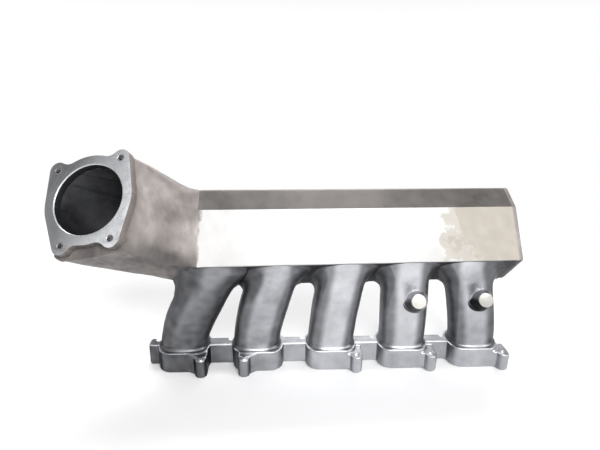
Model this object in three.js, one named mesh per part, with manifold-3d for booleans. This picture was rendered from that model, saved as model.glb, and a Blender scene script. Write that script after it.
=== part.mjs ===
// Five-cylinder intake manifold: head flange, five fanned runners, a long polygonal plenum
// and a throttle inlet on a turned elbow. Millimetres, +Z up. The head face lies in Z = 0,
// the ports stand in a row along X, and the origin is the centre of the middle port.
import * as THREE from "three";
import { mergeVertices } from "three/addons/utils/BufferGeometryUtils.js";
import Module from "manifold-3d";

const wasm = await Module();
wasm.setup();
const { clamp, degToRad, lerp, smoothstep } = THREE.MathUtils;

// ---- driving dimensions ----
const PORTS = 5;
const PORT_PITCH = 88;
const GAP = 0.3; // clearance left between two pieces that are welded or pressed together
const WALL = 5;

const FLANGE_T = 25.5; // head flange thickness
const PAD = { halfX: 30, halfY: 24, corner: 16 };
const RAIL = { x0: -219, x1: 208, y0: -6, y1: 10.5, corner: 5 };
const STUD_SLOT = { x0: -209.4, halfWidth: 3.5, depth: 7 };
const LUG_R = 7;
const LUG_TOP = 21;
const LUGS = [
  { x: -154, y: -29 },
  { x: -104, y: -29 },
  { x: 29.5, y: -25 },
  { x: 119.5, y: -25 },
  { x: 208.5, y: -25 },
];

const RUNNER = { halfX: 27.5, halfY: 19, backAtTop: 12, zTop: 142 };
const WIDEN = [3.5, 1.5, 0, 0, 0]; // how much each runner's half width has grown at WIDEN_TOP
const WIDEN_TOP = 80;
const FOOT_SHIFT = [0, -2, 0, 0, 0]; // how far each runner's foot stands off its port's middle
const LEAN = [25.4, 13.5, 6.2, -3.4, -13]; // how far each runner has leaned along the row at LEAN_TOP
const LEAN_TOP = 96;
const LEAN_POWER = 1.45;
const FILLET = { side: 8, front: 16, outer: 18 }; // where a runner's skin turns into the plenum's floor
const BORE_POINTS = 20;
const FILLET_FROM = 94;
const BOSS = { z: 93, baseR: 12.2, endR: 8.2, reach: 19, rise: 8, side: -2 };
const BOSS_OFFSET = { 4: 8, 5: 5 }; // how far to the +X side of its runner's middle each boss stands

// Plenum section in (y, z) at the far end; it turns by PLENUM_YAW about a vertical line there.
const PLENUM = { x0: -152, x1: 210, centreY: 14, centreZ: 160 };
const PLENUM_YAW = degToRad(2.3);
const SECTION = [
  { y: -28, z: 143, r: 3 }, // front lower edge
  { y: 7, z: 104, r: 8 }, // floor, front
  { y: 34, z: 104, r: 16 }, // floor, rear
  { y: 64, z: 130, r: 18 }, // rear lower edge
  { y: 68, z: 176, r: 18 }, // rear upper edge
  { y: 50, z: 206, r: 14 }, // rear of the ridge
  { y: 30, z: 212, r: 6 }, // ridge
  { y: 5, z: 196, r: 3 }, // front upper edge
];

const THROTTLE = {
  centre: new THREE.Vector3(-266, -9, 208),
  normal: new THREE.Vector3(-0.254, -0.769, 0.587).normalize(),
  bore: 40,
  rim: 51,
  boltR: 55.8,
  earR: 10,
  plate: 10,
  holeR: 4.3,
};
const BOLT_ANGLES = [63.9, 148.6, 254.3, 315.4].map(degToRad);
const OUTER_SIDE = [-1, 1, -1, 1]; // which way round each ear's straight outer edge runs
const EAR_DIP = 0.36;
const ELBOW_RINGS = 8;
const ELBOW_CROWN = { height: 6.5, end: 0.85 }; // how far the hood's top bulges between its two ends
const INSERT = { outerR: 4, innerR: 3.2, length: 9 };

// ---- materials ----
const cast = () =>
  new THREE.MeshStandardMaterial({ color: 0x8b8985, roughness: 0.55, metalness: 0.9 });
const skimmed = () =>
  new THREE.MeshStandardMaterial({ color: 0xd9d6cf, roughness: 0.4, metalness: 0.9 });
const machined = () =>
  new THREE.MeshStandardMaterial({ color: 0xb9bcc0, roughness: 0.3, metalness: 1 });
const steel = () =>
  new THREE.MeshStandardMaterial({ color: 0xa9abad, roughness: 0.35, metalness: 1 });

// ---- solids ----
function toSolid(geometry) {
  geometry.deleteAttribute("normal");
  geometry.deleteAttribute("uv");
  const merged = mergeVertices(geometry, 1e-4);
  return new wasm.Manifold(
    new wasm.Mesh({
      numProp: 3,
      vertProperties: new Float32Array(merged.attributes.position.array),
      triVerts: new Uint32Array(merged.index.array),
    }),
  );
}

function toGeometry(solid) {
  const { vertProperties, triVerts, numProp } = solid.getMesh();
  const positions = new Float32Array((vertProperties.length / numProp) * 3);
  for (let i = 0; i * numProp < vertProperties.length; i++)
    for (let k = 0; k < 3; k++) positions[3 * i + k] = vertProperties[numProp * i + k];
  const geometry = new THREE.BufferGeometry();
  geometry.setAttribute("position", new THREE.BufferAttribute(positions, 3));
  geometry.setIndex(new THREE.BufferAttribute(new Uint32Array(triVerts), 1));
  geometry.computeVertexNormals();
  return geometry;
}

// A closed body through a list of rings with the same number of points, capped at both ends.
function loft(rings) {
  const count = rings[0].length;
  const points = rings.flat();
  const index = [];
  for (let r = 0; r + 1 < rings.length; r++)
    for (let i = 0; i < count; i++) {
      const j = (i + 1) % count;
      const [a, b, c, d] = [r * count + i, r * count + j, (r + 1) * count + j, (r + 1) * count + i];
      index.push(a, b, c, a, c, d);
    }
  for (const [ring, first] of [[0, false], [rings.length - 1, true]]) {
    const centre = rings[ring]
      .reduce((sum, p) => sum.add(p), new THREE.Vector3())
      .divideScalar(count);
    const c = points.push(centre) - 1;
    for (let i = 0; i < count; i++) {
      const [a, b] = [ring * count + i, ring * count + ((i + 1) % count)];
      index.push(...(first ? [a, b, c] : [b, a, c]));
    }
  }
  const geometry = new THREE.BufferGeometry().setFromPoints(points);
  geometry.setIndex(index);
  const solid = toSolid(geometry);
  return solid.volume() > 0 ? solid : loft([...rings].reverse());
}

// The same for a thin strip, whose two long sides hold `width` points each: the ends are capped
// straight across from side to side.
function stripLoft(rings, width) {
  const count = 2 * width;
  const index = [];
  for (let r = 0; r + 1 < rings.length; r++)
    for (let i = 0; i < count; i++) {
      const j = (i + 1) % count;
      const [a, b, c, d] = [r * count + i, r * count + j, (r + 1) * count + j, (r + 1) * count + i];
      // Both long sides are split the same way, so that two strips meet evenly along a joint.
      index.push(...(i === width - 1 ? [a, b, d, b, c, d] : [a, b, c, a, c, d]));
    }
  const last = (rings.length - 1) * count;
  for (let i = 0; i + 1 < width; i++) {
    const [a, b, c, d] = [i, i + 1, count - 2 - i, count - 1 - i];
    index.push(a, c, b, a, d, c, last + a, last + b, last + c, last + a, last + c, last + d);
  }
  const geometry = new THREE.BufferGeometry().setFromPoints(rings.flat());
  geometry.setIndex(index);
  const solid = toSolid(geometry);
  return solid.volume() > 0 ? solid : stripLoft([...rings].reverse(), width);
}

function extrude(shape, from, to, curveSegments = 3) {
  const geometry = new THREE.ExtrudeGeometry(shape, {
    depth: to - from,
    bevelEnabled: false,
    curveSegments,
  });
  geometry.translate(0, 0, from);
  return toSolid(geometry);
}

// Turns a solid drawn in (x, y) and extruded along z into one drawn in (y, z) and run along x.
const standUp = (solid) =>
  solid.transform([0, 1, 0, 0, 0, 0, 1, 0, 1, 0, 0, 0, 0, 0, 0, 1]);

const box = (x0, x1, y0, y1, z0, z1) =>
  toSolid(
    new THREE.BoxGeometry(x1 - x0, y1 - y0, z1 - z0).translate(
      (x0 + x1) / 2,
      (y0 + y1) / 2,
      (z0 + z1) / 2,
    ),
  );

function roundedRectangle(x0, x1, y0, y1, r) {
  const shape = new THREE.Shape();
  shape.absarc(x1 - r, y0 + r, r, -Math.PI / 2, 0);
  shape.absarc(x1 - r, y1 - r, r, 0, Math.PI / 2);
  shape.absarc(x0 + r, y1 - r, r, Math.PI / 2, Math.PI);
  shape.absarc(x0 + r, y0 + r, r, Math.PI, 1.5 * Math.PI);
  return shape;
}

function disc(x, y, r) {
  return new THREE.Shape().absarc(x, y, r, 0, 2 * Math.PI);
}

// A rounded oval ring of points about (cx, cy) at height z.
function oval(cx, cy, z, a, b, count = 32, power = 2.5) {
  return Array.from({ length: count }, (_, i) => {
    const t = (2 * Math.PI * i) / count;
    const [c, s] = [Math.cos(t), Math.sin(t)];
    return new THREE.Vector3(
      cx + a * Math.sign(c) * Math.abs(c) ** (2 / power),
      cy + b * Math.sign(s) * Math.abs(s) ** (2 / power),
      z,
    );
  });
}

// ---- head flange ----
const portX = (n) => (n - (PORTS + 1) / 2) * PORT_PITCH;
const portNumbers = Array.from({ length: PORTS }, (_, i) => i + 1);

function lugSolid({ x, y }, n) {
  const side = Math.sign(x - portX(n));
  const web = new THREE.Shape();
  web.moveTo(x + side * LUG_R, y);
  web.lineTo(x + side * LUG_R, RAIL.y0 + 1);
  web.lineTo(x - side * 3 * LUG_R, RAIL.y0 + 1);
  web.lineTo(x - side * 2.4 * LUG_R, -PAD.halfY + 1);
  web.lineTo(x - side * LUG_R, y);
  web.closePath();
  return extrude(disc(x, y, LUG_R), 0, LUG_TOP, 8).add(extrude(web, 0, LUG_TOP));
}

function makeHeadFlange() {
  let solid = extrude(roundedRectangle(RAIL.x0, RAIL.x1, RAIL.y0, RAIL.y1, RAIL.corner), 0, FLANGE_T);
  for (const n of portNumbers) {
    const x = portX(n);
    const pad = roundedRectangle(x - PAD.halfX, x + PAD.halfX, -PAD.halfY, PAD.halfY, PAD.corner);
    solid = solid.add(extrude(pad, 0, FLANGE_T)).add(lugSolid(LUGS[n - 1], n));
  }
  for (const n of portNumbers) {
    const [x, slotX] = [portX(n), STUD_SLOT.x0 + (n - 1) * PORT_PITCH];
    const port = loft([
      oval(x, 0, -1, RUNNER.halfX - WALL, RUNNER.halfY - WALL, BORE_POINTS),
      oval(x, 0, FLANGE_T + 1, RUNNER.halfX - WALL, RUNNER.halfY - WALL, BORE_POINTS),
    ]);
    const slotEnd = RAIL.y1 - STUD_SLOT.depth + STUD_SLOT.halfWidth;
    const slot = extrude(disc(slotX, slotEnd, STUD_SLOT.halfWidth), -1, FLANGE_T + 1, 7).add(
      box(slotX - STUD_SLOT.halfWidth, slotX + STUD_SLOT.halfWidth, slotEnd, RAIL.y1 + 1, -1, FLANGE_T + 1),
    );
    solid = solid.subtract(port).subtract(slot);
  }
  return solid;
}

// ---- plenum section ----
// The section's outline, moved inwards by `inset`, with round corners and evenly split sides.
function sectionOutline(inset, spacing = Infinity) {
  const corners = SECTION.map(({ y, z, r }) => ({ p: new THREE.Vector2(y, z), r: Math.max(r - inset, 1.5) }));
  const count = corners.length;
  const sides = corners.map(({ p }, i) => {
    const along = corners[(i + 1) % count].p.clone().sub(p).normalize();
    const inward = new THREE.Vector2(-along.y, along.x);
    return { p: p.clone().addScaledVector(inward, inset), along };
  });
  const meet = (a, b) => {
    const cross = a.along.cross(b.along);
    return a.p.clone().addScaledVector(a.along, b.p.clone().sub(a.p).cross(b.along) / cross);
  };
  const moved = sides.map((side, i) => meet(sides[(i + count - 1) % count], side));
  const outline = [];
  moved.forEach((p, i) => {
    const [before, after] = [sides[(i + count - 1) % count].along, sides[i].along];
    const turn = Math.acos(clamp(before.dot(after), -1, 1));
    const reach = corners[i].r * Math.tan(turn / 2);
    const start = p.clone().addScaledVector(before, -reach);
    const end = p.clone().addScaledVector(after, reach);
    const steps = Math.max(2, Math.round(turn / 0.26));
    const curve = new THREE.QuadraticBezierCurve(start, p, end);
    for (const point of curve.getPoints(steps)) outline.push(Object.assign(point, { corner: i }));
    const next = moved[(i + 1) % count];
    const nextReach =
      corners[(i + 1) % count].r *
      Math.tan(Math.acos(clamp(after.dot(sides[(i + 1) % count].along), -1, 1)) / 2);
    const stop = next.clone().addScaledVector(after, -nextReach);
    const splits = Math.floor(corners[i].p.distanceTo(corners[(i + 1) % count].p) / spacing);
    for (let k = 1; k < splits; k++)
      outline.push(Object.assign(end.clone().lerp(stop, k / splits), { corner: i + k / splits }));
  });
  return outline;
}

function plenumPrism(inset, x0, x1) {
  const shape = new THREE.Shape(sectionOutline(inset));
  return turned(standUp(extrude(shape, x0, x1)));
}

// The plenum turns about the vertical line through its far end.
const yawAbout = new THREE.Matrix4()
  .makeTranslation(PLENUM.x1, PLENUM.centreY, 0)
  .multiply(new THREE.Matrix4().makeRotationZ(PLENUM_YAW))
  .multiply(new THREE.Matrix4().makeTranslation(-PLENUM.x1, -PLENUM.centreY, 0));
const yawBack = yawAbout.clone().invert();
const turned = (solid) => solid.transform(yawAbout.elements);

// ---- runners ----
// How far a point lies below the plenum's underside: below its slope, or below its flat floor.
const slopeOut = new THREE.Vector2(SECTION[1].z - SECTION[0].z, SECTION[0].y - SECTION[1].y).normalize();
function belowFloor(x, y, z) {
  const local = new THREE.Vector3(x, y, z).applyMatrix4(yawBack);
  const edge = SECTION[0];
  const fromSlope = (local.y - edge.y) * slopeOut.x + (z - edge.z) * slopeOut.y;
  return local.y > SECTION[1].y ? SECTION[1].z - z : fromSlope;
}

// The middle of runner n at height z.
function axisX(n, z) {
  const t = clamp((z - FLANGE_T) / (LEAN_TOP - FLANGE_T), 0, 1.5);
  return portX(n) + FOOT_SHIFT[n - 1] + LEAN[n - 1] * t ** LEAN_POWER;
}

function runnerRing(n, z, inset, count) {
  const x = axisX(n, z);
  const up = Math.max(0, (z - FLANGE_T) / (SECTION[0].z - FLANGE_T));
  const frontAtTop = new THREE.Vector3(x, SECTION[0].y, 0).applyMatrix4(yawAbout).y + 0.6;
  const front = lerp(-RUNNER.halfY, frontAtTop, up);
  const back = lerp(RUNNER.halfY, RUNNER.backAtTop, up);
  const [middle, halfY] = [(front + back) / 2, (back - front) / 2];
  const halfX = RUNNER.halfX + WIDEN[n - 1] * smoothstep(z, FLANGE_T, WIDEN_TOP);
  const ring = oval(x, middle, z, halfX - inset, halfY - inset, count, 2.6);
  if (inset > 0) return ring;
  for (const p of ring) {
    const side = p.x < x ? -1 : 1;
    const outer = (side < 0 && n === 1) || (side > 0 && n === PORTS);
    const forward = clamp((middle - p.y) / halfY, 0, 1);
    const radius = outer ? FILLET.outer : lerp(FILLET.side, FILLET.front, forward);
    const near = clamp(1 - belowFloor(p.x, p.y, z) / radius, 0, 1);
    const outward = Math.min(1, (1.4 * Math.abs(p.x - x)) / halfX);
    const grown = Math.abs(p.x - x) + outward * (1 - Math.sqrt(1 - near * near)) * radius;
    const room = outer ? Infinity : (Math.abs(axisX(n + side, z) - x) - GAP) / 2;
    p.x = x + side * Math.min(grown, room);
  }
  return ring;
}

// Rings stand closer together where the runner flares into the plenum.
function runnerBody(n, inset, z0, z1) {
  const [count, low, high] = inset > 0 ? [BORE_POINTS, 4, 3] : [28, 5, 12];
  const heights = [];
  for (let i = 0; i < low; i++) heights.push(lerp(z0, FILLET_FROM, i / low));
  for (let i = 0; i <= high; i++) heights.push(lerp(FILLET_FROM, z1, i / high));
  return loft(heights.map((z) => runnerRing(n, z, inset, count)));
}

function bossAxis(n) {
  const middle = runnerRing(n, BOSS.z, 0, 28);
  const box3 = new THREE.Box3().setFromPoints(middle);
  const centre = box3.getCenter(new THREE.Vector3());
  const foot = new THREE.Vector3(centre.x + BOSS_OFFSET[n], box3.min.y + 1, BOSS.z);
  return { foot, along: new THREE.Vector3(BOSS.side, -BOSS.reach, BOSS.rise).normalize() };
}

// A drafted round boss whose foot is buried in the runner's wall.
function bossSolid(n) {
  const { foot, along } = bossAxis(n);
  const length = Math.hypot(BOSS.reach, BOSS.rise) + 8;
  const geometry = new THREE.CylinderGeometry(BOSS.endR, BOSS.baseR, length, 24);
  geometry.translate(0, length / 2 - 8, 0);
  geometry.applyQuaternion(new THREE.Quaternion().setFromUnitVectors(new THREE.Vector3(0, 1, 0), along));
  geometry.translate(foot.x, foot.y, foot.z);
  return toSolid(geometry);
}


function makeRunner(n) {
  return runnerBody(n, 0, FLANGE_T + GAP, RUNNER.zTop)
    .subtract(runnerBody(n, WALL, FLANGE_T - 5, RUNNER.zTop + 5))
    .subtract(plenumSkin)
    .subtract(elbowSkin);
}

// Only the part of the boss outside its runner's skin.
function makeBoss(n) {
  return bossSolid(n).subtract(runnerBody(n, -GAP, FLANGE_T, RUNNER.zTop));
}

// ---- plenum panels ----
const SECTION_CENTRE = new THREE.Vector2(PLENUM.centreY, PLENUM.centreZ);

// The part of the ring that lies between two corners of the section, seen from its centre.
function wedge(from, to) {
  const rim = (i) => {
    const out = new THREE.Vector2(SECTION[i].y, SECTION[i].z).sub(SECTION_CENTRE).normalize();
    return SECTION_CENTRE.clone().addScaledVector(out, 200);
  };
  const count = SECTION.length;
  const fan = [SECTION_CENTRE];
  for (let i = from; ; i = (i + 1) % count) {
    fan.push(rim(i));
    if (i === to) break;
  }
  return standUp(extrude(new THREE.Shape(fan), PLENUM.x0 - 80, PLENUM.x1 + 20));
}

// A thin blade through one corner, which leaves the gap between two panels.
function blade(i) {
  const out = new THREE.Vector2(SECTION[i].y, SECTION[i].z).sub(SECTION_CENTRE).normalize();
  const side = new THREE.Vector2(-out.y, out.x).multiplyScalar(GAP / 2);
  const far = SECTION_CENTRE.clone().addScaledVector(out, 200);
  const corners = [
    SECTION_CENTRE.clone().sub(side),
    far.clone().sub(side),
    far.clone().add(side),
    SECTION_CENTRE.clone().add(side),
  ];
  return standUp(extrude(new THREE.Shape(corners), PLENUM.x0 - 80, PLENUM.x1 + 20));
}

function plenumPanel(from, to) {
  const [x0, x1] = [PLENUM.x0, PLENUM.x1 - WALL - GAP];
  return turned(
    standUp(extrude(new THREE.Shape(sectionOutline(0)), x0, x1))
      .subtract(standUp(extrude(new THREE.Shape(sectionOutline(WALL)), x0 - 1, x1 + 1)))
      .intersect(wedge(from, to))
      .subtract(blade(from))
      .subtract(blade(to)),
  );
}

function makeFloor() {
  let solid = plenumPanel(0, 3);
  for (const n of portNumbers) solid = solid.subtract(runnerBody(n, WALL, FLANGE_T, RUNNER.zTop));
  return solid;
}

// ---- throttle flange and elbow ----
const across = new THREE.Vector3(0, 0, 1).cross(THROTTLE.normal).normalize();
const upward = THROTTLE.normal.clone().cross(across);
const throttlePoint = (angle, r, back) =>
  THROTTLE.centre
    .clone()
    .addScaledVector(across, r * Math.cos(angle))
    .addScaledVector(upward, r * Math.sin(angle))
    .addScaledVector(THROTTLE.normal, -back);
const throttleMatrix = new THREE.Matrix4()
  .makeBasis(across, upward, THROTTLE.normal)
  .setPosition(THROTTLE.centre);
const onThrottle = (solid) => solid.transform(throttleMatrix.elements);

const boltPoint = (angle) => [THROTTLE.boltR * Math.cos(angle), THROTTLE.boltR * Math.sin(angle)];

// Each ear is a disc. On its outer side a straight edge runs tangent to the rim and on towards the
// next ear; on its other side, above or below the bore, a short web leaves a dip beside the rim.
function earSolid(angle, outerSide, z0, z1) {
  const at = (a, r) => [r * Math.cos(a), r * Math.sin(a)];
  const [x, y] = boltPoint(angle);
  const lean = Math.acos((THROTTLE.rim - THROTTLE.earR) / THROTTLE.boltR);
  const tangent = angle + outerSide * lean;
  const dip = angle - outerSide * EAR_DIP;
  const web = new THREE.Shape();
  web.moveTo(...at(tangent, THROTTLE.rim));
  web.lineTo(x + THROTTLE.earR * Math.cos(tangent), y + THROTTLE.earR * Math.sin(tangent));
  web.lineTo(x, y);
  web.lineTo(
    x + THROTTLE.earR * Math.cos(angle - outerSide * 1.35),
    y + THROTTLE.earR * Math.sin(angle - outerSide * 1.35),
  );
  web.quadraticCurveTo(...at(angle - outerSide * 0.2, THROTTLE.rim + 1), ...at(dip, THROTTLE.rim));
  web.lineTo(...at(dip, THROTTLE.rim - 4));
  web.lineTo(...at(tangent, THROTTLE.rim - 4));
  web.closePath();
  return extrude(disc(x, y, THROTTLE.earR), z0, z1, 9).add(extrude(web, z0, z1, 5));
}

function makeThrottleFlange() {
  let solid = extrude(disc(0, 0, THROTTLE.rim), -THROTTLE.plate, 0, 20);
  BOLT_ANGLES.forEach((angle, i) => {
    solid = solid.add(earSolid(angle, OUTER_SIDE[i], -THROTTLE.plate, 0));
  });
  solid = solid.subtract(extrude(disc(0, 0, THROTTLE.bore), -THROTTLE.plate - 1, 1, 20));
  for (const angle of BOLT_ANGLES)
    solid = solid.subtract(extrude(disc(...boltPoint(angle), THROTTLE.holeR), -THROTTLE.plate - 1, 1, 8));
  return onThrottle(solid);
}

function makeInsert(angle) {
  const [x, y] = boltPoint(angle);
  const tube = extrude(disc(x, y, INSERT.outerR), -INSERT.length, -0.5, 8).subtract(
    extrude(disc(x, y, INSERT.innerR), -INSERT.length - 1, 1, 8),
  );
  return onThrottle(tube);
}

// The elbow starts as a four-cornered body behind the ears: flat between them, round elsewhere.
function elbowMouthRadius(angle, corner) {
  const count = BOLT_ANGLES.length;
  let flat = THROTTLE.boltR + corner;
  for (let i = 0; i < count; i++) {
    const [a, b] = [BOLT_ANGLES[i], BOLT_ANGLES[(i + 1) % count] + (i + 1 === count ? 2 * Math.PI : 0)];
    const reach = THROTTLE.boltR * Math.cos((b - a) / 2) + corner;
    const c = Math.cos(angle - (a + b) / 2);
    if (c > 0) flat = Math.min(flat, reach / c);
  }
  return Math.max(THROTTLE.rim - 1, flat);
}

// Where each corner of the plenum's section ends up round the throttle flange, in degrees.
const CORNER_TO_MOUTH = [-44.6, -72, -92, -112, -205, -232, -290, -308, -404.6];

function mouthAngle(corner) {
  const [low, part] = [Math.floor(corner), corner % 1];
  return degToRad(lerp(CORNER_TO_MOUTH[low], CORNER_TO_MOUTH[low + 1], part));
}

// Rings from the throttle flange's back to the plenum's open end, each point on its own curve.
// Underneath they leave square to the flange; on top they run straight to the plenum's ridge.
function elbowRings(outline, mouthRadius, crown) {
  const along = new THREE.Vector3(1, 0, 0).transformDirection(yawAbout);
  const rings = Array.from({ length: ELBOW_RINGS + 1 }, () => []);
  for (const p of outline) {
    const angle = mouthAngle(p.corner);
    const a = throttlePoint(angle, mouthRadius(angle), THROTTLE.plate + GAP);
    const b = new THREE.Vector3(PLENUM.x0 - GAP, p.x, p.y).applyMatrix4(yawAbout);
    const straight = b.clone().sub(a);
    const square = 0.5 - 0.5 * Math.sin(angle);
    const leave = THROTTLE.normal.clone().multiplyScalar(-1.6 * straight.length()).lerp(straight, 1 - square);
    const arrive = along.clone().multiplyScalar(straight.length() * 0.6).lerp(straight, 0.5 - 0.5 * square);
    for (let k = 0; k <= ELBOW_RINGS; k++) {
      const t = k / ELBOW_RINGS;
      const [t2, t3] = [t * t, t * t * t];
      const point = a.clone().multiplyScalar(2 * t3 - 3 * t2 + 1);
      point.addScaledVector(leave, t3 - 2 * t2 + t);
      point.addScaledVector(b, 3 * t2 - 2 * t3);
      point.addScaledVector(arrive, t3 - t2);
      point.z += crown * Math.max(0, Math.sin(angle)) * Math.sin(Math.PI * Math.min(1, t / ELBOW_CROWN.end));
      rings[k].push(point);
    }
  }
  return rings;
}

// The elbow's corners open out below the ears, where the casting stands proud of the flange.
const outerMouth = (angle) => elbowMouthRadius(angle, 8.5 + 6 * Math.max(0, -Math.sin(angle)));
const elbowOutline = sectionOutline(0, 16);
const elbowOuter = elbowRings(elbowOutline, outerMouth, ELBOW_CROWN.height);
const elbowInner = elbowRings(sectionOutline(WALL, 16), () => THROTTLE.bore, 0);

// A curved slab between the outer and inner rings, from one section corner round to another.
function elbowSlab(first, last) {
  const middleOf = (corner) => {
    const ids = elbowOutline.flatMap((p, i) => (p.corner === corner ? [i] : []));
    return ids[Math.floor(ids.length / 2)];
  };
  const count = elbowOutline.length;
  const start = middleOf(first);
  const width = ((middleOf(last) - start + count) % count) + 1;
  const columns = Array.from({ length: width }, (_, i) => (start + i) % count);
  const edge = (ring, i) => {
    const p = ring[columns[i]].clone();
    if (i > 0 && i < width - 1) return p;
    const towards = ring[columns[i === 0 ? 1 : width - 2]].clone().sub(p).normalize();
    return p.addScaledVector(towards, GAP);
  };
  const strips = elbowOuter.map((ring, k) => [
    ...columns.map((_, i) => edge(ring, i)),
    ...columns.map((_, i) => edge(elbowInner[k], width - 1 - i)),
  ]);
  return stripLoft(strips, width);
}

// ---- assembly ----
const plenumSkin = plenumPrism(-GAP, PLENUM.x0 - 60, PLENUM.x1 + 1);
const elbowSkin = loft(
  elbowRings(sectionOutline(-GAP, 14), (angle) => outerMouth(angle) + GAP, ELBOW_CROWN.height),
);

const manifold = new THREE.Group();

function place(name, solid, material) {
  const mesh = new THREE.Mesh(toGeometry(solid), material);
  mesh.name = name;
  manifold.add(mesh);
}

place("head_flange", makeHeadFlange(), cast());
for (const n of portNumbers) {
  place(`runner_${n}`, makeRunner(n), cast());
  if (n in BOSS_OFFSET) place(`runner_boss_${n}`, makeBoss(n), machined());
}
place("plenum_front_panel", plenumPanel(7, 0), skimmed());
place("plenum_top_panel", plenumPanel(6, 7), cast());
place("plenum_rear_shell", plenumPanel(3, 6), cast());
place("plenum_floor", makeFloor(), cast());
place("plenum_end_plate", plenumPrism(0, PLENUM.x1 - WALL, PLENUM.x1), cast());
place("inlet_elbow_hood", elbowSlab(3, 0), cast());
place("inlet_elbow_pan", elbowSlab(0, 3), cast());
place("throttle_flange", makeThrottleFlange(), machined());
BOLT_ANGLES.forEach((angle, i) => place(`throttle_insert_${i + 1}`, makeInsert(angle), steel()));

// The origin is the middle of the base of the whole part's box.
const middle = new THREE.Box3().setFromObject(manifold).getCenter(new THREE.Vector3());
for (const mesh of manifold.children) mesh.geometry.translate(-middle.x, -middle.y, 0);

export default manifold;
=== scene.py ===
"""Looks for the intake manifold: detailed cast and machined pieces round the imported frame."""
import math

import bmesh
import bpy
from mathutils import Matrix, Vector, noise


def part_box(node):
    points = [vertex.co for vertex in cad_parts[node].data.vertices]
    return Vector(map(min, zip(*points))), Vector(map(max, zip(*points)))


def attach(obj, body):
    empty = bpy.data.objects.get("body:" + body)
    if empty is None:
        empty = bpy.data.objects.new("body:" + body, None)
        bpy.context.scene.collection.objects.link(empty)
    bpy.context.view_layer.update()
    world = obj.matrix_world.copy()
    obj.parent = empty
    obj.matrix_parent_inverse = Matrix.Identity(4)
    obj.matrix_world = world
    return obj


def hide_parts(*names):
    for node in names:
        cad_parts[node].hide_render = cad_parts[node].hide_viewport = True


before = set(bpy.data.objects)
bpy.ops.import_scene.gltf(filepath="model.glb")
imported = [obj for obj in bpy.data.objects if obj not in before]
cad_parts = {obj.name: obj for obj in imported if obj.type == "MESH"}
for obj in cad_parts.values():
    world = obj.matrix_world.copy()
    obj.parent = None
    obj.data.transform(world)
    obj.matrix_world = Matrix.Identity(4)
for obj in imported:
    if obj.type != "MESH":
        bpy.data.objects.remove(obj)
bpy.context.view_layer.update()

# ---- dimensions, in millimetres, in the frame whose origin is the middle port ----
PORTS = 5
PITCH = 88.0
WALL = 5.0
JOIN = 0.3  # how far two pieces reach into each other so that no gap shows

# Head flange: pads, a notched rail (x0, x1, y0, y1) and screw lugs, the first two of them domed.
FLANGE_T = 25.5
PAD_X, PAD_Y, PAD_CORNER = 30.0, 24.0, 16.0
RAIL, RAIL_CORNER = (-219.0, 208.0, -6.0, 10.5), 5.0
SLOT_X0, SLOT_HALF, SLOT_DEPTH, SLOT_CORNER = -209.4, 3.5, 7.0, 3.3
LUG_R, LUG_TOP = 7.0, 21.0
LUGS = [(-154, -29), (-104, -29), (29.5, -25), (119.5, -25), (208.5, -25)]
DOMED_LUGS = 2
DOME = [(1, -2), (0.9, 1.2), (0.55, 3.2), (0.1, 3.8)]  # share of the lug's radius, height over its top
RECESS_R, RECESS_DEPTH = 3.4, 2.0
SOFTEN_VOXEL, SOFTEN_STEPS = 0.0009, 10  # the voxel is in metres

# Runners: ovals that lean and widen on their way up and end in fillets under the plenum.
RUNNER_X, RUNNER_Y, BACK_AT_TOP, RUNNER_TOP, RUNNER_POWER = 27.5, 19.0, 12.0, 142.0, 2.6
WIDEN, WIDEN_TOP = [3.5, 1.5, 0, 0, 0], 80.0
FOOT_SHIFT = [0, -2, 0, 0, 0]
LEAN, LEAN_TOP, LEAN_POWER = [25.4, 13.5, 6.2, -3.4, -13], 96.0, 1.45
SIDE_FILLET, FRONT_FILLET, OUTER_FILLET = 8.0, 17.0, {1: 26.0, PORTS: 20.0}
FRONT_GAP = 0.6  # how far a runner's front stays behind the plenum's lower front edge
BEAD, BEAD_HEIGHT = 2.4, 4.0
# The arches' dark bands are painted shade.
ARCH_FROM, ARCH_HALF, ARCH_HALF_LOW = 112.0, 23.0, 16.0  # the dark arches between runners
RUNNER_STEPS = 110
ROOT_DIP = 0.5  # how far a runner's skin starts inside the head flange
BORE_HEIGHTS = (20, 40, 60, 80, 100, 120, 145)
FLOOR_BORE_HEIGHTS = (60, 80, 100, 120, 150)

# Bosses: foot height, reach, step across from the runner's middle, and radii along the reach.
BOSS_Z, BOSS_REACH, BOSS_STEP = 93.0, Vector((-2, -19, 8)), {4: 8, 5: 5}
BOSS_LENGTH = math.hypot(BOSS_REACH.y, BOSS_REACH.z)
BOSS_PROFILE = [
    (-8, 15.5),
    (-2, 15.0),
    (0.2, 14.2),
    (1.4, 12.9),
    (3.2, 12.1),
    (BOSS_LENGTH * 0.6, 10.0),
    (BOSS_LENGTH - 0.7, 8.4),
    (BOSS_LENGTH - 0.1, 7.9),
    (BOSS_LENGTH, 7.6),
]

# Plenum: corners of its section as (y, z, radius), from the front lower edge round the floor.
PLENUM_X0, PLENUM_X1, CENTRE_Y = -152.0, 210.0, 14.0
YAW = math.radians(2.3)
SKIN_STEPS, SKIN_SPACING, SKIN_TURN = 60, 6.0, 0.12
END_PLATE = [(0, -WALL), (0, -1.6), (0.5, -0.5), (1.5, 0)]  # inset of the section, distance past the end
PAN_RISE = 0.36  # how steeply the elbow's underside rises beyond the plenum's end
SECTION = [
    (-28, 143, 3),
    (7, 104, 8),
    (34, 104, 16),
    (64, 130, 18),
    (68, 176, 18),
    (50, 206, 14),
    (30, 212, 6),
    (5, 196, 3),
]

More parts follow.
